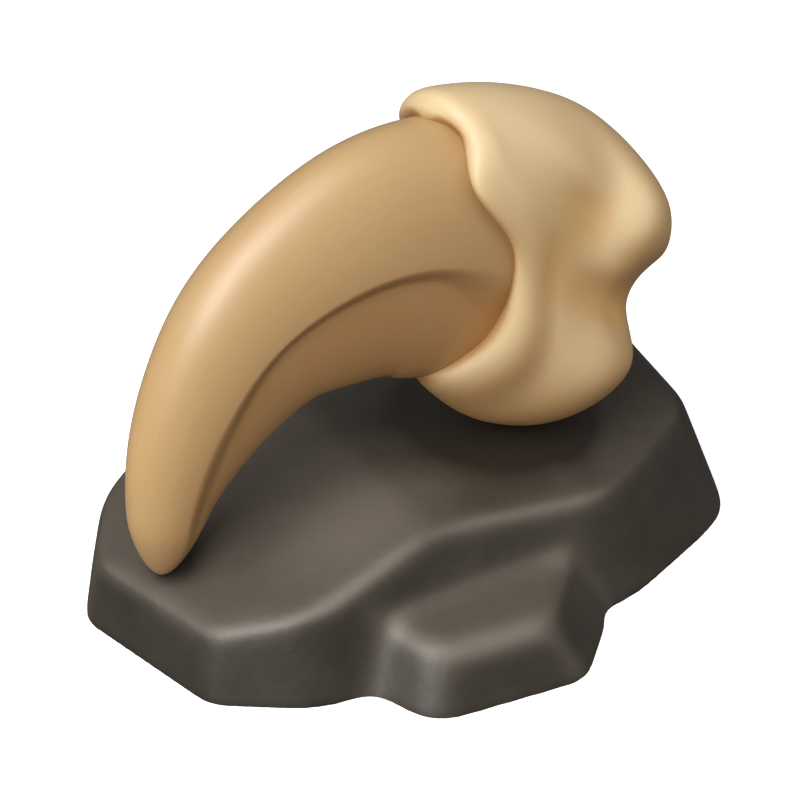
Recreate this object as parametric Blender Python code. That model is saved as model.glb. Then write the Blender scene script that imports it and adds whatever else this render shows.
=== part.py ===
"""A fossil raptor claw standing on its rock, at real size, in metres with +Z up.

The claw arches over the rock and touches it with its tip and with the lower
lobe of its bone. Lengths below are in millimetres from the place where the
tip stands. The claw lies in the XZ plane, nearly the same on both sides.
"""

import math

import bmesh
import bpy
import numpy as np

MM = 0.001
GAP = 0.3

# The blade, from its root inside the bone to its tip. Each station is the
# middle of the blade (x, z), half its height and half its thickness.
BLADE_STATIONS = [
    (75.0, 46.5, 25.0, 12.5),
    (64.5, 52.2, 27.2, 13.4),
    (53.0, 55.4, 27.0, 13.4),
    (41.2, 54.9, 25.3, 12.8),
    (26.4, 49.6, 21.2, 11.6),
    (15.7, 40.5, 17.0, 10.2),
    (7.4, 28.4, 12.8, 8.4),
    (1.9, 14.7, 8.4, 6.6),
    (-0.5, 0.3, 5.0, 4.4),
]
BLADE_RINGS = 34
TIP_ROUNDING = 0.12

# The groove along each side, from root to tip: the share of the blade's length
# and the groove's height there, as a share of half the blade's height.
GROOVE_LINE = [
    (0.0, -0.02), (0.14, 0.03), (0.3, 0.1), (0.45, 0.16), (0.6, 0.135),
    (0.72, 0.055), (0.85, -0.115), (1.0, -0.42),
]
GROOVE_DEPTH = 0.2
GROOVE_RIM = 0.07
GROOVE_FOOT = -0.10
GROOVE_SHARPENS = (0.08, 0.26)
ROOT_SPREAD = 3.5
GROOVE_SOFTENS = (0.5, 0.85)
TIP_SPREAD = 3.5
GROOVE_ENDS = (0.84, 0.98)
# Faces on each side above the groove, across its step and below it.
BLADE_SPANS = (7, 4, 5)

# The bone's seven lines, from the front of its rolled lip to its back face,
# going round from the top to the underside. Each point is x, z and the distance
# from the middle plane. The knots share out each line's length, its ends included.
BONE_FRONT = (68.0, 52.0, 0.0)
BONE_BACK = (97.0, 36.0, 0.0)
BONE_KNOTS = (0, 1.2, 1.7, 2.15, 2.55, 3.6, 4.5, 5.4, 6.4, 7.6)
BONE_LINES = [
    [(57.5, 81.0, 0.0), (57.9, 84.5, 0.0), (59.9, 86.4, 0.0), (63.9, 86.3, 0.0),
     (76.9, 82.8, 0.0), (89.3, 76.4, 0.0), (100.1, 66.0, 0.0), (106.3, 51.7, 0.0)],
    [(61.7, 78.9, 3.5), (60.7, 80.8, 8.5), (63.5, 81.8, 9.9), (66.4, 81.7, 9.6),
     (80.0, 75.2, 11.9), (89.9, 68.0, 12.7), (97.3, 62.4, 16.1), (104.7, 52.1, 9.9)],
    [(61.9, 71.3, 8.1), (59.9, 73.1, 13.5), (65.0, 72.9, 14.6), (68.4, 71.4, 15.0),
     (81.8, 65.1, 13.6), (87.7, 57.9, 15.0), (94.1, 53.6, 18.3), (103.4, 46.2, 12.1)],
    [(68.3, 59.9, 10.4), (66.2, 61.9, 14.9), (69.7, 61.8, 16.0), (73.3, 61.2, 15.6),
     (80.6, 55.6, 14.8), (86.9, 49.5, 15.4), (93.4, 46.0, 15.3), (100.6, 41.0, 9.6)],
    [(68.8, 49.8, 10.8), (67.3, 50.6, 14.9), (69.9, 49.9, 16.6), (73.4, 48.2, 15.9),
     (78.7, 44.4, 15.8), (85.9, 39.9, 14.9), (90.3, 37.0, 13.7), (96.4, 34.6, 10.4)],
    [(64.4, 36.3, 8.3), (63.1, 37.2, 12.9), (65.9, 34.3, 15.6), (69.6, 30.6, 15.1),
     (75.8, 25.3, 16.4), (84.9, 23.5, 18.4), (94.3, 22.5, 15.3), (98.5, 24.1, 8.8)],
    [(54.5, 29.4, 0.0), (54.8, 26.4, 0.0), (57.2, 22.6, 0.0), (61.0, 18.0, 0.0),
     (70.0, 10.8, 0.0), (79.8, 7.9, 0.0), (90.5, 9.7, 0.0), (97.3, 16.9, 0.0)],
]
# On the far side the lip's upper corner reaches further along the blade: how
# far, and how much of it each of that line's first five points takes.
FAR_CORNER_AHEAD = 3.5
FAR_CORNER_SHARES = (1.0, 1.0, 1.0, 0.7, 0.3)
BONE_RINGS = 30
BONE_SIDES = 40

# The rock's two blocks. Each face is a point on it, the way it looks (degrees
# round from +X), how far it looks upward (degrees) and how widely its edges
# are worn. Heights are measured from the place where the claw's tip stands.
ROCK_FLOOR = -15.0
ROCK_SUNK = 1.2
MAIN_FACES = [
    (0.0, 0.0, 0.0, 196, 73.8, 1.0),
    (44.3, -25.4, 10.3, -22, 83.2, 1.0),
    (0.0, -18.5, -1.4, 198, 14, 3.0),
    (0.0, -18.5, -1.4, 237, 18, 1.5),
    (16.4, -27.6, 2.4, 267, 20, 2.2),
    (78.6, -28.0, 6.4, 270, 31, 2.2),
    (72.0, -41.3, -15.0, -70, 24, 2.5),
    (117.5, -5.6, 3.2, -55, 37, 1.5),
    (118.3, 0.0, 0.0, -5, 8, 6.0),
    (116.0, 29.0, 4.0, 48, 20, 2.5),
    (60.0, 35.0, 10.0, 92, 20, 2.5),
    (4.6, 28.8, 3.6, 122, 20, 2.5),
    (-9.8, 12.3, -1.8, 150, 10, 2.5),
    (50.0, 0.0, ROCK_FLOOR - ROCK_SUNK, 0, -90, 2.5),
]
LEDGE_FACES = [
    (36.8, -42.5, -3.3, 248, 86.5, 1.0),
    (36.0, -42.5, -3.5, 204, 28, 3.0),
    (46.0, -43.5, -3.4, 262, 27, 2.6),
    (61.5, -40.0, -2.0, -47, 36, 2.5),
    (73.0, -41.0, -8.0, -5, 20, 2.5),
    (50.0, -20.0, 0.0, 90, 0, 1.0),
    (50.0, 0.0, ROCK_FLOOR - ROCK_SUNK, 0, -90, 2.5),
]
CREASE = 3.0
ROCK_HEART = (56.0, -16.0, -10.0)
ROCK_SPREAD = (70.0, 45.0, 14.0)
ROCK_REACH = 130.0
ROCK_DETAIL = 6
ROCK_FACES_KEPT = 0.05
GROUND_CUTTER = (0.4, 0.4, 0.04)

# The middle of the whole seen from above, level with the rock's underside.
ORIGIN = (55.23, -2.88, ROCK_FLOOR)

COLOURS = {
    "blade": (0.56, 0.37, 0.19),
    "bone": (0.62, 0.47, 0.26),
    "rock": (0.085, 0.075, 0.065),
}


def clear_scene():
    for leftover in list(bpy.data.objects):
        bpy.data.objects.remove(leftover)


def collection_named(name):
    made = bpy.data.collections.new(name)
    bpy.context.scene.collection.children.link(made)
    return made


def finish_material(name, colour, roughness):
    material = bpy.data.materials.new(name)
    material.use_nodes = True
    shader = material.node_tree.nodes["Principled BSDF"]
    shader.inputs["Base Color"].default_value = (*colour, 1.0)
    shader.inputs["Roughness"].default_value = roughness
    shader.inputs["Metallic"].default_value = 0.0
    return material


def in_frame(points):
    """Points in millimetres from the tip's place, in metres from the origin."""
    return (np.asarray(points, float) - ORIGIN) * MM


def spline(knots, values, places):
    """The natural cubic spline through values at knots, read at places."""
    knots = np.asarray(knots, float)
    values = np.asarray(values, float)
    places = np.asarray(places, float)
    column = (-1,) + (1,) * (values.ndim - 1)
    gaps = np.diff(knots)
    slopes = np.diff(values, axis=0) / gaps.reshape(column)
    matrix = np.eye(len(knots))
    bends = np.zeros_like(values)
    for i in range(1, len(knots) - 1):
        matrix[i, i - 1:i + 2] = gaps[i - 1], 2 * (gaps[i - 1] + gaps[i]), gaps[i]
        bends[i] = 6 * (slopes[i] - slopes[i - 1])
    bends = np.linalg.solve(matrix, bends.reshape(len(knots), -1)).reshape(values.shape)
    i = np.clip(np.searchsorted(knots, places) - 1, 0, len(knots) - 2)
    gap = gaps[i].reshape(column)
    a = (knots[i + 1] - places).reshape(column) / gap
    b = 1 - a
    cubic = (a**3 - a) * bends[i] + (b**3 - b) * bends[i + 1]
    return a * values[i] + b * values[i + 1] + cubic * gap**2 / 6


def smoothstep(low, high, value):
    t = np.clip((value - low) / (high - low), 0, 1)
    return t * t * (3 - 2 * t)


def loft(name, rings, first, last):
    """A closed mesh object from rings of points, closed by a point at each end."""
    mesh = bpy.data.meshes.new(name)
    bm = bmesh.new()
    loops = [[bm.verts.new(p) for p in in_frame(ring)] for ring in rings]
    ends = [bm.verts.new(p) for p in in_frame([first, last])]
    sides = len(loops[0])
    for k in range(sides):
        after = (k + 1) % sides
        for here, there in zip(loops, loops[1:]):
            bm.faces.new((here[k], here[after], there[after], there[k]))
        bm.faces.new((loops[0][after], loops[0][k], ends[0]))
        bm.faces.new((loops[-1][k], loops[-1][after], ends[1]))
    bmesh.ops.recalc_face_normals(bm, faces=bm.faces)
    bm.to_mesh(mesh)
    bm.free()
    return bpy.data.objects.new(name, mesh)


def blade_angles(rim, foot, spans):
    """Angles round the blade from its back, closest together across the groove."""
    above, step, below = spans
    rim = math.acos(rim)
    foot = math.acos(foot)
    side = np.concatenate([
        np.linspace(0, rim, above + 1)[:-1],
        np.linspace(rim, foot, step + 1)[:-1],
        np.linspace(foot, math.pi, below + 1),
    ])
    return np.concatenate([side, 2 * math.pi - side[-2:0:-1]])


def blade_grid(ring_count, spans):
    """The share of the blade's length at each ring, the heights of the groove's rim
    and foot there, how far it is cut, and the angles round the ring."""
    along = 1 - (1 - np.linspace(0, 1, ring_count + 1)[:-1]) ** 1.25
    groove_line = np.array(GROOVE_LINE)
    groove = spline(groove_line[:, 0], groove_line[:, 1], along)
    spread = ROOT_SPREAD + (1 - ROOT_SPREAD) * smoothstep(*GROOVE_SHARPENS, along)
    spread += (TIP_SPREAD - 1) * smoothstep(*GROOVE_SOFTENS, along)
    rim = groove + GROOVE_RIM
    foot = groove + GROOVE_FOOT * spread
    cut = 1 - smoothstep(*GROOVE_ENDS, along)
    angles = np.array([blade_angles(*step, spans) for step in zip(rim, foot)])
    return along, rim, foot, cut, angles


def blade_rings(ring_count, spans, grown=0.0):
    """The blade's rings from root to tip, and its two end points.

    grown makes the blade that much bigger all round, for the bone's socket.
    """
    along, rim, foot, cut, angles = blade_grid(ring_count, spans)
    stations = np.array(BLADE_STATIONS)
    knots = np.linspace(0, 1, len(stations))
    middle = spline(knots, stations[:, :2], along)
    heading = spline(knots, stations[:, :2], along + 0.002) - middle
    heading /= np.linalg.norm(heading, axis=1, keepdims=True)
    outward = np.stack([heading[:, 1], -heading[:, 0]], axis=1)
    past = np.clip((along - 1 + TIP_ROUNDING) / TIP_ROUNDING, 0, 1)
    rounding = np.sqrt(1 - past**2)
    half_height = spline(knots, stations[:, 2], along) * rounding + grown
    half_width = spline(knots, stations[:, 3], along) * rounding + grown
    height = np.cos(angles)
    below = smoothstep(rim[:, None], foot[:, None], height)
    width = np.sin(angles) * (1 - GROOVE_DEPTH * cut[:, None] * below)
    up = half_height[:, None] * height
    x = middle[:, :1] + outward[:, :1] * up
    z = middle[:, 1:] + outward[:, 1:] * up
    rings = np.stack([x, half_width[:, None] * width, z], axis=2)
    root = stations[0]
    tip = stations[-1]
    return rings, (root[0], 0.0, root[1]), (tip[0], 0.0, tip[1])


def bone_rings(ring_count, sides):
    """The bone's rings from its lip to its back face, and its two end points."""
    lines = np.array(BONE_LINES)
    mirrored = lines[-2:0:-1] * (1, 1, -1)
    lines[1, :5, 0] -= FAR_CORNER_AHEAD * np.array(FAR_CORNER_SHARES)
    around = np.concatenate([lines, mirrored])
    front = np.broadcast_to(BONE_FRONT, (len(around), 1, 3))
    back = np.broadcast_to(BONE_BACK, (len(around), 1, 3))
    net = np.concatenate([front, around, back], axis=1)
    places = np.linspace(0, BONE_KNOTS[-1], ring_count + 2)[1:-1]
    along = spline(BONE_KNOTS, net.transpose(1, 0, 2), places)
    lines_round = len(around)
    knots = np.arange(3 * lines_round)
    angles = lines_round * (1 + np.linspace(0, 1, sides, endpoint=False))
    rings = []
    for ring in along:
        closed = spline(knots, np.tile(ring, (3, 1)), angles)
        rings.append(closed[:, (0, 2, 1)])
    return rings, (BONE_FRONT[0], 0.0, BONE_FRONT[1]), (BONE_BACK[0], 0.0, BONE_BACK[1])


def smooth_max(a, b, wear):
    """The larger of a and b, blended where they differ by less than wear."""
    blend = np.maximum(wear - np.abs(a - b), 0)
    return np.maximum(a, b) + blend**2 / (4 * wear)


def outside(points, faces):
    """How far points are outside a block with these faces. Inside is below zero."""
    most = np.full(len(points), -ROCK_REACH)
    for x, y, z, heading, rise, wear in faces:
        heading, rise = math.radians(heading), math.radians(rise)
        flat = math.cos(rise)
        normal = (flat * math.cos(heading), flat * math.sin(heading), math.sin(rise))
        most = smooth_max(most, (points - (x, y, z)) @ normal, wear)
    return most


def outside_rock(points):
    main = outside(points, MAIN_FACES)
    ledge = outside(points, LEDGE_FACES)
    return -smooth_max(-main, -ledge, CREASE)


def rock_mesh(detail):
    """A ball of triangles, each corner moved straight out from the heart to the skin."""
    mesh = bpy.data.meshes.new("rock")
    bm = bmesh.new()
    bmesh.ops.create_icosphere(bm, subdivisions=detail, radius=1.0)
    directions = np.array([v.co for v in bm.verts]) * ROCK_SPREAD
    directions /= np.linalg.norm(directions, axis=1, keepdims=True)
    near = np.zeros(len(directions))
    far = np.full(len(directions), ROCK_REACH)
    for _ in range(24):
        middle = (near + far) / 2
        beyond = outside_rock(ROCK_HEART + directions * middle[:, None]) > 0
        far = np.where(beyond, middle, far)
        near = np.where(beyond, near, middle)
    skin = in_frame(ROCK_HEART + directions * near[:, None])
    for vertex, place in zip(bm.verts, skin):
        vertex.co = place
    bm.to_mesh(mesh)
    bm.free()
    return mesh


def as_cutter(made):
    made.hide_render = True
    made.display_type = "WIRE"
    return made


def make_rock(collection, helpers):
    """One stone: a main block and a ledge in one skin, with a flat underside."""
    rock = bpy.data.objects.new("rock", rock_mesh(ROCK_DETAIL))
    collection.objects.link(rock)
    fewer = rock.modifiers.new("fewer faces", "DECIMATE")
    fewer.ratio = ROCK_FACES_KEPT

    mesh = bpy.data.meshes.new("ground cutter")
    bm = bmesh.new()
    bmesh.ops.create_cube(bm, size=1.0)
    bm.to_mesh(mesh)
    bm.free()
    ground = as_cutter(bpy.data.objects.new("ground cutter", mesh))
    ground.scale = GROUND_CUTTER
    ground.location.z = -GROUND_CUTTER[2] / 2
    helpers.objects.link(ground)
    cut = rock.modifiers.new("flat underside", "BOOLEAN")
    cut.operation = "DIFFERENCE"
    cut.object = ground
    return rock


def main():
    clear_scene()
    parts = collection_named("fossil raptor claw")
    helpers = collection_named("cutters")

    blade = loft("claw_blade", *blade_rings(BLADE_RINGS, BLADE_SPANS))
    parts.objects.link(blade)

    bone = loft("claw_bone", *bone_rings(BONE_RINGS, BONE_SIDES))
    parts.objects.link(bone)
    socket = loft("socket cutter", *blade_rings(BLADE_RINGS, BLADE_SPANS, grown=GAP))
    helpers.objects.link(as_cutter(socket))
    cut = bone.modifiers.new("socket", "BOOLEAN")
    cut.operation = "DIFFERENCE"
    cut.object = socket

    rock = make_rock(parts, helpers)

    for piece, key, roughness in ((blade, "blade", 0.42), (bone, "bone", 0.5), (rock, "rock", 0.6)):
        piece.data.materials.append(finish_material(key, COLOURS[key], roughness))
        piece.data.shade_smooth()


main()
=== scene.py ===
"""The looks of a fossil raptor claw on its rock: fine surfaces, finishes, light and camera.

Shapes are in millimetres from the place where the claw's tip stands, as in the
solids, and become metres in the model's frame when their meshes are made.
"""

import math

import bmesh
import bpy
import numpy as np
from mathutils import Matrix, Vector
from mathutils.bvhtree import BVHTree
from mathutils.kdtree import KDTree


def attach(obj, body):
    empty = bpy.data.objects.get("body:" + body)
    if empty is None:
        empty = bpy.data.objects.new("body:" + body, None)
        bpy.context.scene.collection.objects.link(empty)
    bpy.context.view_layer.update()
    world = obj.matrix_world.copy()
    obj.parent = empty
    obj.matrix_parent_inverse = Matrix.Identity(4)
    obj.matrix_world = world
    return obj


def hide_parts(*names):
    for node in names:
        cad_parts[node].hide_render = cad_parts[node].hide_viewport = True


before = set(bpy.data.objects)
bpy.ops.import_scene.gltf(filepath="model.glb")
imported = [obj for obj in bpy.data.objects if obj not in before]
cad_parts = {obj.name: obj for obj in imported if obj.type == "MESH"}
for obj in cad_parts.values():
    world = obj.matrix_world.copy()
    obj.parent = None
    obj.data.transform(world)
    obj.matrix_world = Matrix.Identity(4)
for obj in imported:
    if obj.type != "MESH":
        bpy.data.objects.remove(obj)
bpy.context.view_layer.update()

MM = 0.001

# The place of the model's origin, from the place where the claw's tip stands.
ROCK_FLOOR = -15.0
ORIGIN = (55.23, -2.88, ROCK_FLOOR)

# The blade, from its root inside the bone to its tip. Each station is the
# middle of the blade (x, z), half its height and half its thickness.
BLADE_STATIONS = [
    (75.0, 46.5, 25.0, 12.5),
    (64.5, 52.2, 27.2, 13.4),
    (53.0, 55.4, 27.0, 13.4),
    (41.2, 54.9, 25.3, 12.8),
    (26.4, 49.6, 21.2, 11.6),
    (15.7, 40.5, 17.0, 10.2),
    (7.4, 28.4, 12.8, 8.4),
    (1.9, 14.7, 8.4, 6.6),
    (-0.5, 0.3, 5.0, 4.4),
]

# The blade's rings, crowded towards its tip, the share of its length ahead that
# gives each ring its heading, and the share at the tip that is rounded off.
BLADE_RINGS = 260
RINGS_CROWD_BY = 1.25
HEADING_STEP = 0.002
TIP_ROUNDING = 0.12

# The groove along each side, from root to tip: the share of the blade's length
# and the groove's height there, as a share of half the blade's height.
GROOVE_LINE = [
    (0.0, -0.02), (0.14, 0.03), (0.3, 0.1), (0.45, 0.16), (0.6, 0.135),
    (0.72, 0.055), (0.85, -0.115), (1.0, -0.42),
]

# How deep the groove is cut, as a share of half the blade's thickness, the heights
# of its rim and foot over its line, and the shares of the length over which it
# sharpens from its wider root end, softens to its wider tip end, and fades out.
GROOVE_DEPTH = 0.2
GROOVE_RIM = 0.07
GROOVE_FOOT = -0.10
GROOVE_SHARPENS = (0.08, 0.26)
ROOT_SPREAD = 3.5
GROOVE_SOFTENS = (0.5, 0.85)
TIP_SPREAD = 3.5
GROOVE_ENDS = (0.84, 0.98)

# The faces across each side of the blade: above the groove, in it and below it.
BLADE_SPANS = (40, 24, 30)

# The markings of the blade: its size laid out flat (metres along it, and metres for each radian
# round it), the painted shade in the groove and the height of the belly, below which the horn is
# painted darker as shade.
BLADE_LENGTH = 0.13
BLADE_GIRTH = 0.018
GROOVE_SHADE_WIDTH = 0.17
GROOVE_SHADE_MIDDLE = 0.6
GROOVE_SHADE_SHARPNESS = 5
BELLY_HEIGHTS = (0.0, -0.3)

# The bone's seven lines, from the front of its rolled lip to its back face,
# going round from the top to the underside. Each point is x, z and the distance
# from the middle plane, and the knots are the points' places along a line.
BONE_FRONT = (68.0, 52.0, 0.0)
BONE_BACK = (97.0, 36.0, 0.0)
BONE_KNOTS = (0, 1.2, 1.7, 2.15, 2.55, 3.6, 4.5, 5.4, 6.4, 7.6)
BONE_LINES = [
    [(57.5, 81.0, 0.0), (57.9, 84.5, 0.0), (59.9, 86.4, 0.0), (63.9, 86.3, 0.0),
     (76.9, 82.8, 0.0), (89.3, 76.4, 0.0), (100.1, 66.0, 0.0), (106.3, 51.7, 0.0)],
    [(61.7, 78.9, 3.5), (60.7, 80.8, 8.5), (63.5, 81.8, 9.9), (66.4, 81.7, 9.6),
     (80.0, 75.2, 11.9), (89.9, 68.0, 12.7), (97.3, 62.4, 16.1), (104.7, 52.1, 9.9)],
    [(61.9, 71.3, 8.1), (59.9, 73.1, 13.5), (65.0, 72.9, 14.6), (68.4, 71.4, 15.0),
     (81.8, 65.1, 13.6), (87.7, 57.9, 15.0), (94.1, 53.6, 18.3), (103.4, 46.2, 12.1)],
    [(68.3, 59.9, 10.4), (66.2, 61.9, 14.9), (69.7, 61.8, 16.0), (73.3, 61.2, 15.6),
     (80.6, 55.6, 14.8), (86.9, 49.5, 15.4), (93.4, 46.0, 15.3), (100.6, 41.0, 9.6)],
    [(68.8, 49.8, 10.8), (67.3, 50.6, 14.9), (69.9, 49.9, 16.6), (73.4, 48.2, 16.1),
     (78.7, 44.4, 15.8), (85.9, 39.9, 14.9), (90.3, 37.0, 13.7), (96.4, 34.6, 10.4)],
    [(64.4, 36.3, 8.3), (63.1, 37.2, 12.9), (65.9, 34.3, 15.6), (69.6, 30.6, 15.5),
     (75.8, 25.3, 16.4), (84.9, 23.5, 18.4), (94.3, 22.5, 15.3), (98.5, 24.1, 8.8)],
    [(54.5, 29.4, 0.0), (54.8, 26.4, 0.0), (57.2, 22.6, 0.0), (61.0, 18.0, 0.0),
     (70.0, 10.8, 0.0), (79.8, 7.9, 0.0), (90.5, 9.7, 0.0), (97.3, 16.9, 0.0)],
]

# How far the lip's far top corner stands forward of the near one, and the shares of
# that at its points, from the front of the lip on.
FAR_CORNER_AHEAD = 3.5
FAR_CORNER_SHARES = (1.0, 1.0, 1.0, 0.7, 0.3)

# The bone's rings from lip to back, and the points round each.
BONE_RINGS = 220
BONE_SIDES = 260

# Where the bone's back face is evened out, as shares of its rings, and how much.
BACK_EVENED = (0.88, 1.0)
BACK_STRENGTH = 0.02
BACK_ROUNDS = 120

# The gap between blade and bone, how far the painted shade beside it reaches on the bone, how many
# rings and sides away the bone's hollows and ridges are measured, and from which turn (degrees)
# the socket's edge stays sharp.
SEAM = 0.04
SEAM_SHADE_REACH = 2.4 * MM
BONE_RELIEF = 12
SOCKET_SHARP = 50

# The rock's two blocks. Each face is a point on it, the way it looks (degrees
# round from +X), how far it looks upward (degrees) and how widely its edges
# are worn. The rock goes on this far below its floor until it is cut flat, and the
# crease is how widely its blocks run into each other.
ROCK_SUNK = 2.2
MAIN_FACES = [
    (0.0, 0.0, 0.0, 196, 73.8, 1.0),
    (44.3, -25.4, 10.3, -22, 83.2, 1.0),
    (0.0, -18.5, -1.4, 198, 14, 3.0),
    (0.0, -18.5, -1.4, 237, 18, 2.0),
    (16.4, -27.6, 2.4, 267, 20, 3.2),
    (78.6, -28.0, 6.4, 270, 31, 3.0),
    (72.0, -41.3, -15.0, -70, 24, 2.5),
    (117.5, -5.6, 3.2, -55, 37, 1.5),
    (118.3, 0.0, 0.0, -5, 8, 6.0),
    (116.0, 29.0, 4.0, 48, 20, 2.5),
    (60.0, 35.0, 10.0, 92, 20, 2.5),
    (4.6, 28.8, 3.6, 122, 20, 2.5),
    (-9.8, 12.3, -1.8, 150, 10, 2.5),
    (50.0, 0.0, ROCK_FLOOR - ROCK_SUNK, 0, -90, 2.5),
]
LEDGE_FACES = [
    (36.8, -42.5, -3.3, 248, 86.5, 1.0),
    (36.0, -42.5, -3.5, 204, 28, 3.0),
    (46.0, -43.5, -3.4, 262, 27, 4.5),
    (61.5, -40.0, -2.0, -47, 36, 2.5),
    (73.0, -41.0, -8.0, -5, 20, 2.5),
    (50.0, -20.0, 0.0, 90, 0, 1.0),
    (50.0, 0.0, ROCK_FLOOR - ROCK_SUNK, 0, -90, 2.5),
]
CREASE = 3.0

# The rock's surface is found outward from its heart, made again in even faces, worn,
# and cut flat underneath. Edges stay sharp from ROCK_SHARP degrees.
ROCK_HEART = (56.0, -16.0, -10.0)
ROCK_SPREAD = (70.0, 45.0, 14.0)
ROCK_REACH = 130.0
ROCK_DETAIL = 5
ROCK_HALVINGS = 30
ROCK_CELL = 0.85 * MM
SURFACE_ROUNDS = 3
SLOPE_STEP = 0.05
WORN_ROUNDS = 10
ROCK_SHARP = 40
CUT_TOLERANCE = 1e-6

# The markings of the rock: edges painted paler for wear and as a highlight, and how far two faces
# turn to have one, the crease of the ledge, painted paler as light, the painted pool of light on
# top, and the sky that the claw hides, painted as its shade.
EDGE_REACH = 5.0
EDGE_TURN = (0.1, 0.5)
CREASE_REACH = 12.0
LIT_PATCH_AT = (36.0, -13.0, 7.0)
LIT_PATCH_REACH = (26.0, 15.0, 12.0)
LIT_PATCH_FADE = (0.2, 1.0)
SKY_DIRECTIONS = 56
SKY_ROUNDS = 60
SKY_START = 0.5 * MM
GOLDEN_TURN = 137.5

# Colours of the finishes, from where they are palest to where they are darkest. The deep colours
# stand partly for painted shade, the horn's groove-shade and bone-shade colours for painted shade,
# the rock's wear-and-highlight colour for wear and a painted highlight on its edges, and its
# lit-patch colour for a painted pool of light on its top.
HORN_PALE = (0.53, 0.35, 0.17)
HORN_TIP = (0.65, 0.42, 0.19)
HORN_DEEP = (0.475, 0.255, 0.098)
HORN_GROOVE_SHADE = (0.38, 0.16, 0.045)
BONE_PALE = (0.73, 0.565, 0.33)
BONE_DEEP = (0.74, 0.42, 0.158)
BONE_SHADE = (0.44, 0.225, 0.075)
ROCK_PALE = (0.092, 0.077, 0.06)
ROCK_DEEP = (0.029, 0.0235, 0.017)
ROCK_WEAR_AND_HIGHLIGHT = (0.18, 0.152, 0.122)
ROCK_LIT_PATCH = (0.17, 0.142, 0.11)

# How far each thing takes a finish from its pale colour towards its deep one, or back, where it is
# below zero. Facing away from the lights, the belly, the bone's hollows, the rock's front and the
# sky that the claw hides paint shade; the rock's crease, below zero, paints light; cloud, streaks,
# pores and patches are tone that differs at random.
HORN_TONES = {"turned_from_light": 0.62, "belly": 0.4, "cloud": 0.14, "streaks": 0.1}
BONE_TONES = {"turned_from_light": 0.7, "hollow": 0.32, "cloud": 0.12, "pores": 0.06}
ROCK_TONES = {
    "turned_from_light": 0.5, "front": 0.6, "cloud": 0.2, "patches": 0.1, "crease": -0.35, "sheltered": 1.3,
}

# Directions, in degrees round from +X and upward, that the finishes change by. The first is the
# side the main lights come from, where everything is palest: surfaces turned from it are painted
# darker as shade.
LIGHT_SIDE = (205, 50)
UPWARD = (0, 90)
# Rock faces turned from this side, towards the front, are painted darker as shade.
ROCK_BACK = (52, 10)
# Edges turned from this side lose their paler wear and painted highlight.
WEAR_AND_HIGHLIGHT_SIDE = (255, 20)

# How squarely a surface faces such a direction where the change begins and ends,
# from -1, straight away from it, to 1, straight towards it.
HORN_SHADE_TURN = (-0.2, 0.9)
BONE_SHADE_TURN = (-0.3, 0.9)
ROCK_SHADE_TURN = (0.3, 0.9)
# The bone is painted darker as shade where it faces down.
BONE_UNDERSIDE = (-0.65, 0.2)
ROCK_STEEP = (0.45, 0.8)
ROCK_FRONT = (-0.75, -0.4)
EDGE_FADES = (0.45, 0.85)

# From how many millimetres over the mean to how many below it the bone is painted darker as shade
# in its hollows, and from which share of the sky that the claw hides to which the rock is painted
# darker as the claw's shade.
HOLLOW_DEPTHS = (-0.3, 0.3)
HIDDEN_SKY = (0.27, 0.46)

# How strong the painted shade in the groove and on the bone, the worn and highlighted edges and
# the painted pool of light are, and how many metres along it the horn pales towards its tip.
GROOVE_SHADE_STRENGTH = 0.45
BONE_SHADE_STRENGTH = 0.7
EDGE_WEAR_AND_HIGHLIGHT = 0.95
EDGE_KEPT = 0.8
LIT_PATCH_STRENGTH = 0.6
TIP_PALES = (0.06, 0.115)

# Sizes of the noise that breaks the finishes up, in waves per metre.
CLOUD_WAVES = 45.0
ROCK_CLOUD_WAVES = 30.0
PATCH_WAVES = 140.0
STREAK_WAVES = 900.0
STREAK_STRETCH = (1.0, 0.08, 1.0)
PORE_WAVES = 1100.0
GRAIN_WAVES = 2600.0
ROCK_GRAIN_WAVES = 1800.0
WIDE_RANGE = (0.3, 0.7)
NARROW_RANGE = (0.35, 0.65)

# Roughness in the hollows and on the peaks of the grain, shine, and height of the
# fine relief in metres.
HORN_ROUGHNESS = (0.34, 0.4)
BONE_ROUGHNESS = (0.42, 0.49)
ROCK_ROUGHNESS = (0.44, 0.54)
BONE_SHINE = 0.4
ROCK_SHINE = 0.35
FINE_RELIEF = 0.000006
GRAIN_RELIEF = 0.00001
ROCK_PATCH_RELIEF = 0.00006
ROCK_GRAIN_RELIEF = 0.00003

# Light that goes a little way into horn and bone, furthest for red.
SCATTER_SHARE = 0.18
SCATTER_DISTANCE = 2.5 * MM
SCATTER_SPREAD = (1.0, 0.55, 0.3)

# The camera looks at the tip's place moved this far right and up, in its own
# directions, so that the claw stands in the picture as in the photograph.
VIEW_AZIMUTH = -30.0
VIEW_ELEVATION = 37.0
VIEW_LENS = 100.0
VIEW_RIGHT = 44.65
VIEW_UP = 32.87
VIEW_DISTANCE = 422.2
VIEW_DEPTH_POINT = (52.0, -8.0, 25.0)
VIEW_SENSOR = 36.0
VIEW_CLIP = (0.01, 20.0)

# The stage: a pale floor, white light and a dim room, with sizes in metres.
FLOOR_SIZE = 6.0
FLOOR_COLOUR = (0.93, 0.93, 0.93, 1.0)
FLOOR_ROUGHNESS = 0.9
FLOOR_SHINE = 0.1
FLOOR_GLOW = 0.7
WHITE = (1.0, 1.0, 1.0, 1.0)
ROOM_LIGHT = 0.14
LIGHT_DISTANCE = 0.8
LIT_PLACE = Vector((0.0, 0.0, 0.045))


def facing(azimuth, elevation):
    """The direction from the object towards a light or camera. Azimuth is from +X."""
    a, e = math.radians(azimuth), math.radians(elevation)
    return Vector((math.cos(a) * math.cos(e), math.sin(a) * math.cos(e), math.sin(e)))


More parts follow.
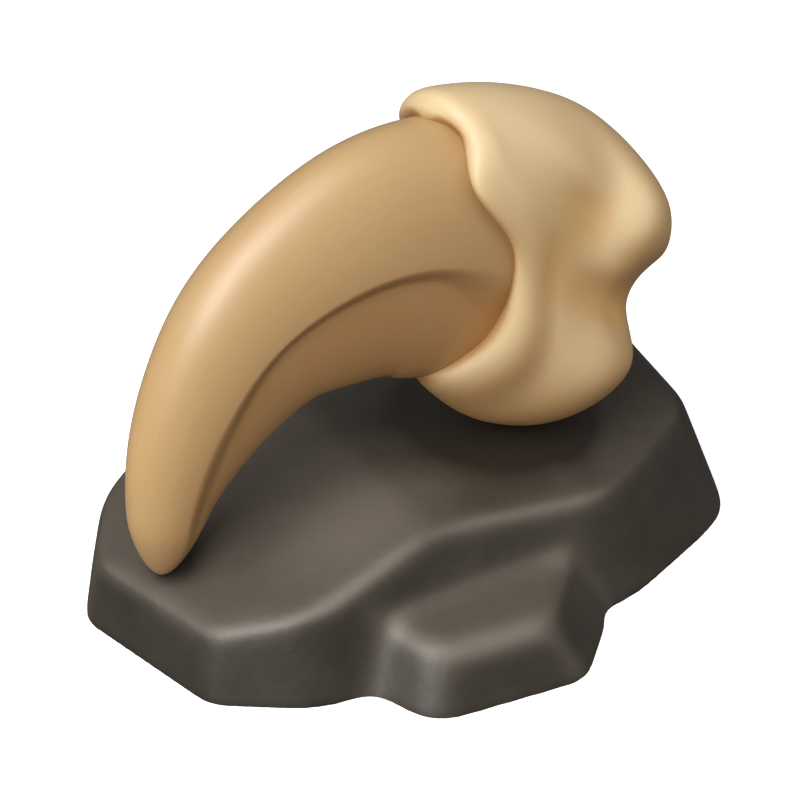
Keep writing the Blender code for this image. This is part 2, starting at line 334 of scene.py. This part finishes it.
def in_frame(points):
    """Points in millimetres from the tip's place, in metres from the origin."""
    return (np.asarray(points, float) - ORIGIN) * MM


def spline(knots, values, places):
    """The natural cubic spline through values at knots, read at places."""
    knots = np.asarray(knots, float)
    values = np.asarray(values, float)
    places = np.asarray(places, float)
    column = (-1,) + (1,) * (values.ndim - 1)
    gaps = np.diff(knots)
    slopes = np.diff(values, axis=0) / gaps.reshape(column)
    matrix = np.eye(len(knots))
    bends = np.zeros_like(values)
    for i in range(1, len(knots) - 1):
        matrix[i, i - 1:i + 2] = gaps[i - 1], 2 * (gaps[i - 1] + gaps[i]), gaps[i]
        bends[i] = 6 * (slopes[i] - slopes[i - 1])
    bends = np.linalg.solve(matrix, bends.reshape(len(knots), -1)).reshape(values.shape)
    i = np.clip(np.searchsorted(knots, places) - 1, 0, len(knots) - 2)
    gap = gaps[i].reshape(column)
    a = (knots[i + 1] - places).reshape(column) / gap
    b = 1 - a
    cubic = (a**3 - a) * bends[i] + (b**3 - b) * bends[i + 1]
    return a * values[i] + b * values[i + 1] + cubic * gap**2 / 6


def smoothstep(low, high, value):
    t = np.clip((value - low) / (high - low), 0, 1)
    return t * t * (3 - 2 * t)


def piece_from(name, mesh):
    """A smooth piece of the object, linked to the scene."""
    mesh.shade_smooth()
    made = bpy.data.objects.new(name, mesh)
    bpy.context.scene.collection.objects.link(made)
    return made


def paint_value(mesh, name, values):
    """A number at each corner point of the mesh, for its material to read."""
    made = mesh.attributes.new(name, "FLOAT", "POINT")
    made.data.foreach_set("value", np.asarray(values, np.float32))


def loft(name, rings, first, last):
    """A closed mesh from rings of points, closed by a point at each end."""
    rings = np.array(rings)
    count, sides = rings.shape[:2]
    places = np.concatenate([rings.reshape(-1, 3), [first, last]])
    side = np.arange(sides)
    after = (side + 1) % sides
    faces = []
    for k in range(count - 1):
        here, there = k * sides, (k + 1) * sides
        quads = np.stack([here + side, here + after, there + after, there + side], axis=1)
        faces.extend(quads.tolist())
    first_at, last_at = count * sides, count * sides + 1
    end = (count - 1) * sides
    faces.extend([[int(b), int(a), first_at] for a, b in zip(side, after)])
    faces.extend([[int(end + a), int(end + b), last_at] for a, b in zip(side, after)])
    mesh = bpy.data.meshes.new(name)
    mesh.from_pydata(in_frame(places).tolist(), [], faces)
    bm = bmesh.new()
    bm.from_mesh(mesh)
    bmesh.ops.recalc_face_normals(bm, faces=bm.faces)
    bm.to_mesh(mesh)
    bm.free()
    return mesh


# The blade.

def blade_angles(rim, foot):
    """Angles round the blade from its back, closest together across the groove."""
    above, step, below = BLADE_SPANS
    rim = math.acos(rim)
    foot = math.acos(foot)
    side = np.concatenate([
        np.linspace(0, rim, above + 1)[:-1],
        np.linspace(rim, foot, step + 1)[:-1],
        np.linspace(foot, math.pi, below + 1),
    ])
    return np.concatenate([side, 2 * math.pi - side[-2:0:-1]])


def blade_grid():
    """The share of the blade's length at each ring, the heights of the groove's rim
    and foot there, how far it is cut, and the angles round the ring."""
    along = 1 - (1 - np.linspace(0, 1, BLADE_RINGS + 1)[:-1]) ** RINGS_CROWD_BY
    groove_line = np.array(GROOVE_LINE)
    groove = spline(groove_line[:, 0], groove_line[:, 1], along)
    spread = ROOT_SPREAD + (1 - ROOT_SPREAD) * smoothstep(*GROOVE_SHARPENS, along)
    spread += (TIP_SPREAD - 1) * smoothstep(*GROOVE_SOFTENS, along)
    rim = groove + GROOVE_RIM
    foot = groove + GROOVE_FOOT * spread
    cut = 1 - smoothstep(*GROOVE_ENDS, along)
    angles = np.array([blade_angles(*step) for step in zip(rim, foot)])
    return along, rim, foot, cut, angles


def blade_rings(grown=0.0):
    """The blade's rings from root to tip, and its two end points.

    grown makes the blade that much bigger all round, for the bone's socket.
    """
    along, rim, foot, cut, angles = blade_grid()
    stations = np.array(BLADE_STATIONS)
    knots = np.linspace(0, 1, len(stations))
    middle = spline(knots, stations[:, :2], along)
    heading = spline(knots, stations[:, :2], along + HEADING_STEP) - middle
    heading /= np.linalg.norm(heading, axis=1, keepdims=True)
    outward = np.stack([heading[:, 1], -heading[:, 0]], axis=1)
    past = np.clip((along - 1 + TIP_ROUNDING) / TIP_ROUNDING, 0, 1)
    rounding = np.sqrt(1 - past**2)
    half_height = spline(knots, stations[:, 2], along) * rounding + grown
    half_width = spline(knots, stations[:, 3], along) * rounding + grown
    height = np.cos(angles)
    below = smoothstep(rim[:, None], foot[:, None], height)
    width = np.sin(angles) * (1 - GROOVE_DEPTH * cut[:, None] * below)
    up = half_height[:, None] * height
    x = middle[:, :1] + outward[:, :1] * up
    z = middle[:, 1:] + outward[:, 1:] * up
    rings = np.stack([x, half_width[:, None] * width, z], axis=2)
    root = stations[0]
    tip = stations[-1]
    return rings, (root[0], 0.0, root[1]), (tip[0], 0.0, tip[1])


def blade_markings():
    """For the blade's material: how deep each point is in the groove or on the belly, where the
    horn is painted darker as shade, and its place on the blade laid out flat, for the streaks."""
    along, rim, foot, cut, angles = blade_grid()
    height = np.cos(angles) - rim[:, None]
    width = (rim - foot)[:, None]
    painted_shade = np.exp(-(height / width + GROOVE_SHADE_MIDDLE) ** 2 * GROOVE_SHADE_SHARPNESS)
    painted_shade = painted_shade * cut[:, None] * GROOVE_SHADE_WIDTH / width
    belly = smoothstep(*BELLY_HEIGHTS, height)
    length = np.broadcast_to(along[:, None] * BLADE_LENGTH, angles.shape)
    turn = np.minimum(angles, 2 * math.pi - angles) * BLADE_GIRTH
    return {"groove": painted_shade, "belly": belly, "length": length, "turn": turn}


def make_blade():
    mesh = loft("claw_horn", *blade_rings())
    for name, values in blade_markings().items():
        ends = (values[0].mean(), values[-1].mean())
        paint_value(mesh, name, np.concatenate([values.ravel(), ends]))
    piece = piece_from("claw_horn", mesh)
    piece.data.materials.append(horn_material())
    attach(piece, "root")
    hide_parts("claw_blade")
    return piece


# The bone end.

def bone_rings():
    """The bone's rings from its lip to its back face, and its two end points."""
    lines = np.array(BONE_LINES)
    mirrored = lines[-2:0:-1] * (1, 1, -1)
    lines[1, :5, 0] -= FAR_CORNER_AHEAD * np.array(FAR_CORNER_SHARES)
    around = np.concatenate([lines, mirrored])
    front = np.broadcast_to(BONE_FRONT, (len(around), 1, 3))
    back = np.broadcast_to(BONE_BACK, (len(around), 1, 3))
    net = np.concatenate([front, around, back], axis=1)
    places = np.linspace(0, BONE_KNOTS[-1], BONE_RINGS + 2)[1:-1]
    along = spline(BONE_KNOTS, net.transpose(1, 0, 2), places)
    lines_round = len(around)
    knots = np.arange(3 * lines_round)
    angles = lines_round * (1 + np.linspace(0, 1, BONE_SIDES, endpoint=False))
    rings = []
    for ring in along:
        closed = spline(knots, np.tile(ring, (3, 1)), angles)
        rings.append(closed[:, (0, 2, 1)])
    rings = even_back(np.array(rings))
    return rings, (BONE_FRONT[0], 0.0, BONE_FRONT[1]), rings[-1].mean(axis=0)


def even_back(rings):
    """The rings with the last ones evened out, so that no creases meet at their end."""
    count, sides = rings.shape[:2]
    backward = smoothstep(*BACK_EVENED, np.linspace(0, 1, count))
    waves = np.maximum(np.arange(sides // 2 + 1) - 1, 0)
    kept = (1 - backward[:, None]) ** (waves * BACK_STRENGTH)
    share = backward[:, None, None] / 2
    for _ in range(BACK_ROUNDS):
        rings = np.fft.irfft(np.fft.rfft(rings, axis=1) * kept[:, :, None], sides, axis=1)
        opposite = np.roll(rings[-1:], sides // 2, axis=1)
        before = np.concatenate([rings[:1], rings[:-1]])
        after = np.concatenate([rings[1:], opposite])
        rings = rings + ((before + after) / 2 - rings) * share
    return rings


def hollows(rings, reach):
    """How far each point of a grid of rings lies below the mean of the points round
    it, in millimetres: above zero in hollows and below zero on ridges."""
    padded = np.pad(rings, ((reach, reach), (0, 0), (0, 0)), mode="edge")
    rows = len(rings)
    mean = np.zeros_like(rings)
    for row, side in ((-reach, 0), (reach, 0), (0, -reach), (0, reach)):
        shifted = np.roll(padded, side, axis=1)
        mean += shifted[reach + row:reach + row + rows] / 4
    normal = np.cross(np.gradient(rings, axis=0), np.roll(rings, -1, 1) - np.roll(rings, 1, 1))
    normal /= np.maximum(np.linalg.norm(normal, axis=2, keepdims=True), 1e-9)
    outward = rings - rings.reshape(-1, 3).mean(axis=0)
    if (normal * outward).sum() < 0:
        normal = -normal
    return ((mean - rings) * normal).sum(axis=2)


def paint_from(mesh, name, places, values):
    """A number at each point of the mesh, taken from the nearest of the places."""
    tree = KDTree(len(places))
    for index, place in enumerate(places):
        tree.insert(place, index)
    tree.balance()
    nearest = [tree.find(vertex.co)[1] for vertex in mesh.vertices]
    paint_value(mesh, name, values[nearest])


def nearness(mesh, other, reach):
    """1 where the mesh touches the other piece, down to 0 at the reach from it."""
    tree = BVHTree.FromObject(other, bpy.context.evaluated_depsgraph_get())
    distances = np.array([tree.find_nearest(vertex.co)[3] for vertex in mesh.vertices])
    return 1 - smoothstep(0, reach, distances)


def make_bone(blade):
    rings, front, back = bone_rings()
    piece = piece_from("claw_bone_end", loft("claw_bone_end", rings, front, back))
    socket = piece_from("socket", loft("socket", *blade_rings(grown=SEAM)))
    cut = piece.modifiers.new("socket", "BOOLEAN")
    cut.operation = "DIFFERENCE"
    cut.object = socket
    graph = bpy.context.evaluated_depsgraph_get()
    piece.data = bpy.data.meshes.new_from_object(piece.evaluated_get(graph))
    piece.modifiers.clear()
    bpy.data.objects.remove(socket)
    piece.data.set_sharp_from_angle(angle=math.radians(SOCKET_SHARP))
    places = in_frame(rings.reshape(-1, 3))
    # Painted shade: how deep each point lies in a hollow, for darkening the bone there.
    paint_from(piece.data, "hollow", places, hollows(rings, BONE_RELIEF).ravel())
    # Painted shade: the bone is painted darker next to the blade.
    paint_value(piece.data, "seam", nearness(piece.data, blade, SEAM_SHADE_REACH))
    piece.data.materials.clear()
    piece.data.materials.append(bone_material())
    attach(piece, "root")
    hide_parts("claw_bone")
    return piece


# The rock.

def smooth_max(a, b, wear):
    """The larger of a and b, blended where they differ by less than wear."""
    blend = np.maximum(wear - np.abs(a - b), 0)
    return np.maximum(a, b) + blend**2 / (4 * wear)


def face_distances(points, faces):
    """How far points are in front of each face. Behind a face is below zero."""
    found = []
    for x, y, z, heading, rise, wear in faces:
        heading, rise = math.radians(heading), math.radians(rise)
        flat = math.cos(rise)
        normal = (flat * math.cos(heading), flat * math.sin(heading), math.sin(rise))
        found.append((points - (x, y, z)) @ normal)
    return np.array(found)


def outside(points, faces):
    """How far points are outside a block with these faces. Inside is below zero."""
    most = np.full(len(points), -ROCK_REACH)
    for distance, face in zip(face_distances(points, faces), faces):
        most = smooth_max(most, distance, face[-1])
    return most


def outside_rock(points):
    """How far points are outside the two blocks together. Inside is below zero."""
    main = outside(points, MAIN_FACES)
    ledge = outside(points, LEDGE_FACES)
    return -smooth_max(-main, -ledge, CREASE)


def rock_markings(points):
    """For the rock's material: how near each point is to an edge, painted paler for wear and as a
    highlight, to the crease between the two blocks, painted paler as light, and to the painted
    pool of light on top."""
    edge = np.zeros(len(points))
    for faces in (MAIN_FACES, LEDGE_FACES):
        distances = face_distances(points, faces)
        order = np.argsort(distances, axis=0)
        first, second = np.take_along_axis(distances, order, axis=0)[[-1, -2]]
        normals = np.array([facing(face[3], face[4]) for face in faces])
        turn = 1 - (normals[order[-1]] * normals[order[-2]]).sum(axis=1)
        near_edge = 1 - smoothstep(0, EDGE_REACH, first - second)
        near_edge = near_edge * smoothstep(*EDGE_TURN, turn)
        edge = np.where(np.abs(first) < EDGE_REACH, np.maximum(edge, near_edge), edge)
    between = np.abs(outside(points, MAIN_FACES) - outside(points, LEDGE_FACES))
    lit_patch = np.linalg.norm((points - LIT_PATCH_AT) / LIT_PATCH_REACH, axis=1)
    return {
        "edge": edge,
        "crease": 1 - smoothstep(0, CREASE_REACH, between),
        "lit_patch": 1 - smoothstep(*LIT_PATCH_FADE, lit_patch),
    }


def sheltered(mesh, above):
    """The share of the sky that the pieces above hide from each point of the mesh."""
    graph = bpy.context.evaluated_depsgraph_get()
    trees = [BVHTree.FromObject(piece, graph) for piece in above]
    rises = np.arcsin((np.arange(SKY_DIRECTIONS) + 0.5) / SKY_DIRECTIONS)
    turns = np.arange(SKY_DIRECTIONS) * GOLDEN_TURN
    sky = [facing(turn, math.degrees(rise)) for turn, rise in zip(turns, rises)]
    hidden = np.zeros(len(mesh.vertices))
    for index, vertex in enumerate(mesh.vertices):
        start = vertex.co + Vector((0, 0, SKY_START))
        for direction in sky:
            if any(tree.ray_cast(start, direction)[0] for tree in trees):
                hidden[index] += 1
    return hidden / SKY_DIRECTIONS


def evened(mesh, values, rounds):
    """Numbers at the mesh's points, each evened out with its neighbours' in each round."""
    ends = np.zeros(len(mesh.edges) * 2, np.int32)
    mesh.edges.foreach_get("vertices", ends)
    here, there = ends.reshape(-1, 2).T
    count = len(values)
    neighbours = np.bincount(ends, minlength=count)
    for _ in range(rounds):
        total = np.bincount(here, values[there], count) + np.bincount(there, values[here], count)
        values = (values + total / neighbours) / 2
    return values


def rough_rock():
    """The rock as a ball pressed out to its faces."""
    mesh = bpy.data.meshes.new("rough rock")
    bm = bmesh.new()
    bmesh.ops.create_icosphere(bm, subdivisions=ROCK_DETAIL, radius=1.0)
    directions = np.array([v.co for v in bm.verts]) * ROCK_SPREAD
    directions /= np.linalg.norm(directions, axis=1, keepdims=True)
    near = np.zeros(len(directions))
    far = np.full(len(directions), ROCK_REACH)
    for _ in range(ROCK_HALVINGS):
        middle = (near + far) / 2
        beyond = outside_rock(ROCK_HEART + directions * middle[:, None]) > 0
        far = np.where(beyond, middle, far)
        near = np.where(beyond, near, middle)
    for vertex, place in zip(bm.verts, in_frame(ROCK_HEART + directions * near[:, None])):
        vertex.co = place
    bm.to_mesh(mesh)
    bm.free()
    return mesh


def onto_rock(points):
    """Points near the rock's surface, moved onto it."""
    steps = np.eye(3) * SLOPE_STEP
    for _ in range(SURFACE_ROUNDS):
        away = outside_rock(points)
        slope = np.stack([outside_rock(points + step) - away for step in steps], axis=1)
        slope = slope / SLOPE_STEP
        points = points - slope * (away / (slope**2).sum(axis=1))[:, None]
    return points


def rock_mesh():
    """The rock in small even faces, cut flat underneath."""
    rough = piece_from("rough rock", rough_rock())
    even = rough.modifiers.new("even faces", "REMESH")
    even.mode = "VOXEL"
    even.voxel_size = ROCK_CELL
    graph = bpy.context.evaluated_depsgraph_get()
    mesh = bpy.data.meshes.new_from_object(rough.evaluated_get(graph))
    mesh.name = "display_rock"
    bpy.data.objects.remove(rough)
    bm = bmesh.new()
    bm.from_mesh(mesh)
    surface = onto_rock(np.array([vertex.co for vertex in bm.verts]) / MM + ORIGIN)
    surface = np.stack([evened(mesh, column, WORN_ROUNDS) for column in surface.T], axis=1)
    for vertex, place in zip(bm.verts, in_frame(surface)):
        vertex.co = place
    cut = bmesh.ops.bisect_plane(
        bm, geom=bm.verts[:] + bm.edges[:] + bm.faces[:], dist=CUT_TOLERANCE,
        plane_co=(0, 0, 0), plane_no=(0, 0, -1), clear_outer=True,
    )
    rim = [part for part in cut["geom_cut"] if isinstance(part, bmesh.types.BMEdge)]
    bmesh.ops.holes_fill(bm, edges=rim, sides=0)
    bmesh.ops.recalc_face_normals(bm, faces=bm.faces)
    bm.to_mesh(mesh)
    bm.free()
    return mesh


def make_rock(above):
    mesh = rock_mesh()
    points = np.array([vertex.co for vertex in mesh.vertices]) / MM + ORIGIN
    for name, values in rock_markings(points).items():
        paint_value(mesh, name, evened(mesh, values, WORN_ROUNDS))
    # Painted shade: the rock is painted darker where the claw hides the sky.
    paint_value(mesh, "sheltered", evened(mesh, sheltered(mesh, above), SKY_ROUNDS))
    piece = piece_from("display_rock", mesh)
    piece.data.set_sharp_from_angle(angle=math.radians(ROCK_SHARP))
    piece.data.materials.append(rock_material())
    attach(piece, "root")
    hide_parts("rock")


# The finishes.

class Nodes:
    """A short way to add and join a material's nodes."""

    def __init__(self, name):
        self.material = bpy.data.materials.new(name)
        self.material.use_nodes = True
        self.tree = self.material.node_tree
        self.shader = self.tree.nodes["Principled BSDF"]

    def add(self, kind, settings=None, **inputs):
        node = self.tree.nodes.new(kind)
        for key, value in (settings or {}).items():
            setattr(node, key, value)
        for key, value in inputs.items():
            self.set(node.inputs[key], value)
        return node

    def set(self, socket, value):
        if isinstance(value, bpy.types.NodeSocket):
            self.tree.links.new(value, socket)
        else:
            socket.default_value = value

    def noise(self, place, scale, detail=4.0, roughness=0.5):
        node = self.add("ShaderNodeTexNoise", Vector=place, Scale=scale, Detail=detail)
        node.inputs["Roughness"].default_value = roughness
        return node.outputs["Fac"]

    def ramp(self, value, low, high, start=0.0, end=1.0):
        node = self.add("ShaderNodeMapRange", {"interpolation_type": "SMOOTHSTEP"}, Value=value)
        ends = {"From Min": low, "From Max": high, "To Min": start, "To Max": end}
        for key, number in ends.items():
            node.inputs[key].default_value = number
        return node.outputs["Result"]

    def math(self, operation, a, b):
        node = self.add("ShaderNodeMath", {"operation": operation})
        self.set(node.inputs[0], a)
        self.set(node.inputs[1], b)
        return node.outputs[0]

    def mix(self, share, a, b):
        node = self.add("ShaderNodeMix", {"data_type": "RGBA"})
        self.set(node.inputs["Factor"], share)
        for socket, value in ((node.inputs[6], a), (node.inputs[7], b)):
            self.set(socket, (*value, 1.0) if isinstance(value, tuple) else value)
        return node.outputs[2]

    def place(self):
        return self.add("ShaderNodeTexCoord").outputs["Object"]

    def value(self, name):
        """A number painted on the mesh."""
        return self.add("ShaderNodeAttribute", {"attribute_name": name}).outputs["Fac"]

    def faces_away(self, direction, low, high):
        """0 where the surface faces in the direction, 1 where it faces away from it."""
        towards = self.add("ShaderNodeVectorMath", {"operation": "DOT_PRODUCT"})
        self.set(towards.inputs[0], self.add("ShaderNodeTexCoord").outputs["Normal"])
        towards.inputs[1].default_value = facing(*direction)
        return self.ramp(towards.outputs["Value"], low, high, 1.0, 0.0)

    def tone(self, shares, parts):
        """The parts added up, each times its share."""
        total = 0.0
        for name, share in shares.items():
            total = self.math("ADD", total, self.math("MULTIPLY", parts[name], share))
        return total

    def surface(self, colour, roughness, reliefs):
        """Gives the material its colour, roughness and reliefs, from coarse to fine."""
        self.set(self.shader.inputs["Base Color"], colour)
        self.set(self.shader.inputs["Roughness"], roughness)
        normal = None
        for height, distance in reliefs:
            node = self.add("ShaderNodeBump", Height=height)
            node.inputs["Distance"].default_value = distance
            if normal:
                self.set(node.inputs["Normal"], normal)
            normal = node.outputs["Normal"]
        self.set(self.shader.inputs["Normal"], normal)

    def scatter(self):
        """Lets light go a little way into the surface."""
        self.shader.inputs["Subsurface Weight"].default_value = SCATTER_SHARE
        self.shader.inputs["Subsurface Scale"].default_value = SCATTER_DISTANCE
        self.shader.inputs["Subsurface Radius"].default_value = SCATTER_SPREAD


def horn_material():
    nodes = Nodes("fossil horn")
    place = nodes.place()
    flat = nodes.add("ShaderNodeCombineXYZ", X=nodes.value("turn"), Y=nodes.value("length"))
    drawn_out = nodes.add("ShaderNodeMapping", Vector=flat.outputs["Vector"], Scale=STREAK_STRETCH)
    streaks = nodes.noise(drawn_out.outputs["Vector"], STREAK_WAVES, detail=3.0)
    streaks = nodes.ramp(streaks, *WIDE_RANGE)
    grain = nodes.noise(place, GRAIN_WAVES, detail=2.0)
    tone = nodes.tone(HORN_TONES, {
        # Painted shade: surfaces turned from the lights are painted darker.
        "turned_from_light": nodes.faces_away(LIGHT_SIDE, *HORN_SHADE_TURN),
        # Painted shade: the horn is painted darker on the belly below the groove.
        "belly": nodes.value("belly"),
        "cloud": nodes.ramp(nodes.noise(place, CLOUD_WAVES), *WIDE_RANGE),
        "streaks": streaks,
    })
    tipward = nodes.ramp(nodes.value("length"), *TIP_PALES)
    colour = nodes.mix(tone, nodes.mix(tipward, HORN_PALE, HORN_TIP), HORN_DEEP)
    # Painted shade: the groove is painted darker, as the shade in it.
    painted_shade = nodes.math("MULTIPLY", nodes.value("groove"), GROOVE_SHADE_STRENGTH)
    colour = nodes.mix(painted_shade, colour, HORN_GROOVE_SHADE)
    roughness = nodes.ramp(grain, *WIDE_RANGE, *HORN_ROUGHNESS)
    nodes.surface(colour, roughness, [(streaks, FINE_RELIEF), (grain, GRAIN_RELIEF)])
    nodes.scatter()
    return nodes.material


def bone_material():
    nodes = Nodes("fossil bone")
    place = nodes.place()
    pores = nodes.ramp(nodes.noise(place, PORE_WAVES, detail=3.0), *NARROW_RANGE)
    grain = nodes.noise(place, GRAIN_WAVES, detail=2.0)
    tone = nodes.tone(BONE_TONES, {
        # Painted shade: surfaces turned from the lights are painted darker.
        "turned_from_light": nodes.faces_away(LIGHT_SIDE, *BONE_SHADE_TURN),
        # Painted shade: the bone is painted darker in its hollows.
        "hollow": nodes.ramp(nodes.value("hollow"), *HOLLOW_DEPTHS),
        "cloud": nodes.ramp(nodes.noise(place, CLOUD_WAVES), *WIDE_RANGE),
        "pores": pores,
    })
    colour = nodes.mix(tone, BONE_PALE, BONE_DEEP)
    # Painted shade: the bone is painted darker where it faces down and next to the blade.
    below = nodes.faces_away(UPWARD, *BONE_UNDERSIDE)
    painted_shade = nodes.math("MULTIPLY", nodes.math("ADD", nodes.value("seam"), below), BONE_SHADE_STRENGTH)
    colour = nodes.mix(nodes.math("MINIMUM", painted_shade, 1.0), colour, BONE_SHADE)
    roughness = nodes.ramp(grain, *WIDE_RANGE, *BONE_ROUGHNESS)
    nodes.surface(colour, roughness, [(pores, FINE_RELIEF), (grain, GRAIN_RELIEF)])
    nodes.shader.inputs["Specular IOR Level"].default_value = BONE_SHINE
    nodes.scatter()
    return nodes.material


def rock_material():
    nodes = Nodes("display rock")
    place = nodes.place()
    patches = nodes.ramp(nodes.noise(place, PATCH_WAVES, detail=5.0), *NARROW_RANGE)
    grain = nodes.noise(place, ROCK_GRAIN_WAVES, detail=4.0, roughness=0.6)
    tone = nodes.tone(ROCK_TONES, {
        # Painted shade: surfaces turned from the lights are painted darker.
        "turned_from_light": nodes.faces_away(LIGHT_SIDE, *ROCK_SHADE_TURN),
        # Painted shade: the rock's front faces are painted darker.
        "front": nodes.faces_away(ROCK_BACK, *ROCK_FRONT),
        "cloud": nodes.ramp(nodes.noise(place, ROCK_CLOUD_WAVES), *WIDE_RANGE),
        "patches": patches,
        # Painted light: the crease between the blocks is painted paler, against its shade.
        "crease": nodes.value("crease"),
        # Painted shade: the rock is painted darker where the claw hides the sky.
        "sheltered": nodes.ramp(nodes.value("sheltered"), *HIDDEN_SKY),
    })
    colour = nodes.mix(tone, ROCK_PALE, ROCK_DEEP)
    # Edges are painted paler, partly for wear and partly as a painted highlight, only where they
    # face the viewer's side and upward.
    turned = nodes.math("MULTIPLY", nodes.faces_away(WEAR_AND_HIGHLIGHT_SIDE, *EDGE_FADES), EDGE_KEPT)
    steep = nodes.math("MULTIPLY", nodes.faces_away(UPWARD, *ROCK_STEEP), EDGE_KEPT)
    share = nodes.math("SUBTRACT", EDGE_WEAR_AND_HIGHLIGHT, nodes.math("ADD", turned, steep))
    wear_and_highlight = nodes.math("MAXIMUM", nodes.math("MULTIPLY", nodes.value("edge"), share), 0.0)
    colour = nodes.mix(wear_and_highlight, colour, ROCK_WEAR_AND_HIGHLIGHT)
    # Painted light: a pale pool of light on the rock's top.
    lit_patch = nodes.math("MULTIPLY", nodes.value("lit_patch"), LIT_PATCH_STRENGTH)
    colour = nodes.mix(lit_patch, colour, ROCK_LIT_PATCH)
    roughness = nodes.ramp(grain, *WIDE_RANGE, *ROCK_ROUGHNESS)
    nodes.surface(colour, roughness, [(patches, ROCK_PATCH_RELIEF), (grain, ROCK_GRAIN_RELIEF)])
    nodes.shader.inputs["Specular IOR Level"].default_value = ROCK_SHINE
    return nodes.material


# The stage.

def make_floor():
    mesh = bpy.data.meshes.new("floor")
    half = FLOOR_SIZE / 2
    corners = [(-half, -half, 0), (half, -half, 0), (half, half, 0), (-half, half, 0)]
    mesh.from_pydata(corners, [], [(0, 1, 2, 3)])
    floor = bpy.data.objects.new("floor", mesh)
    bpy.context.scene.collection.objects.link(floor)
    material = bpy.data.materials.new("pale floor")
    material.use_nodes = True
    shader = material.node_tree.nodes["Principled BSDF"]
    shader.inputs["Base Color"].default_value = FLOOR_COLOUR
    shader.inputs["Roughness"].default_value = FLOOR_ROUGHNESS
    shader.inputs["Specular IOR Level"].default_value = FLOOR_SHINE
    shader.inputs["Emission Color"].default_value = WHITE
    shader.inputs["Emission Strength"].default_value = FLOOR_GLOW
    mesh.materials.append(material)
    floor.visible_diffuse = False
    floor.visible_glossy = False


def make_camera():
    back = facing(VIEW_AZIMUTH - 90, VIEW_ELEVATION)
    right = facing(VIEW_AZIMUTH, 0)
    up = back.cross(right)
    aim = right * VIEW_RIGHT + up * VIEW_UP
    aim += back * (Vector(VIEW_DEPTH_POINT) - aim).dot(back)
    camera = bpy.data.objects.new("camera", bpy.data.cameras.new("camera"))
    bpy.context.scene.collection.objects.link(camera)
    camera.data.lens = VIEW_LENS
    camera.data.sensor_width = VIEW_SENSOR
    camera.data.clip_start, camera.data.clip_end = VIEW_CLIP
    camera.location = in_frame(aim + back * VIEW_DISTANCE)
    camera.rotation_mode = "QUATERNION"
    camera.rotation_quaternion = back.to_track_quat("Z", "Y")
    bpy.context.scene.camera = camera


def soft_light(name, azimuth, elevation, width, height, power):
    """A studio light that looks at the middle of the claw."""
    light = bpy.data.lights.new(name, "AREA")
    light.shape = "RECTANGLE"
    light.size = width
    light.size_y = height
    light.energy = power
    lamp = bpy.data.objects.new(name, light)
    bpy.context.scene.collection.objects.link(lamp)
    direction = facing(azimuth, elevation)
    lamp.location = LIT_PLACE + direction * LIGHT_DISTANCE
    lamp.rotation_mode = "QUATERNION"
    lamp.rotation_quaternion = direction.to_track_quat("Z", "Y")
    return lamp


def make_light():
    """A wide soft box high on the tip's side with a smaller key light below it, a fill
    from the front that leaves no highlights, a streak of highlights, and a dim room."""
    world = bpy.data.worlds.new("studio")
    bpy.context.scene.world = world
    world.use_nodes = True
    background = world.node_tree.nodes["Background"]
    background.inputs["Color"].default_value = WHITE
    background.inputs["Strength"].default_value = ROOM_LIGHT
    soft_light("soft box", azimuth=197, elevation=52, width=0.75, height=1.0, power=7.4)
    soft_light("key", azimuth=216, elevation=26, width=0.5, height=0.75, power=2.3)
    fill = soft_light("front fill", azimuth=302, elevation=30, width=0.7, height=0.7, power=1.6)
    fill.visible_glossy = False
    streak = soft_light("streak", azimuth=208, elevation=34, width=0.32, height=0.75, power=4.0)
    streak.visible_diffuse = False
    bpy.context.scene.view_settings.view_transform = "Standard"


make_camera()
make_light()
make_floor()
blade = make_blade()
bone = make_bone(blade)
make_rock([blade, bone])
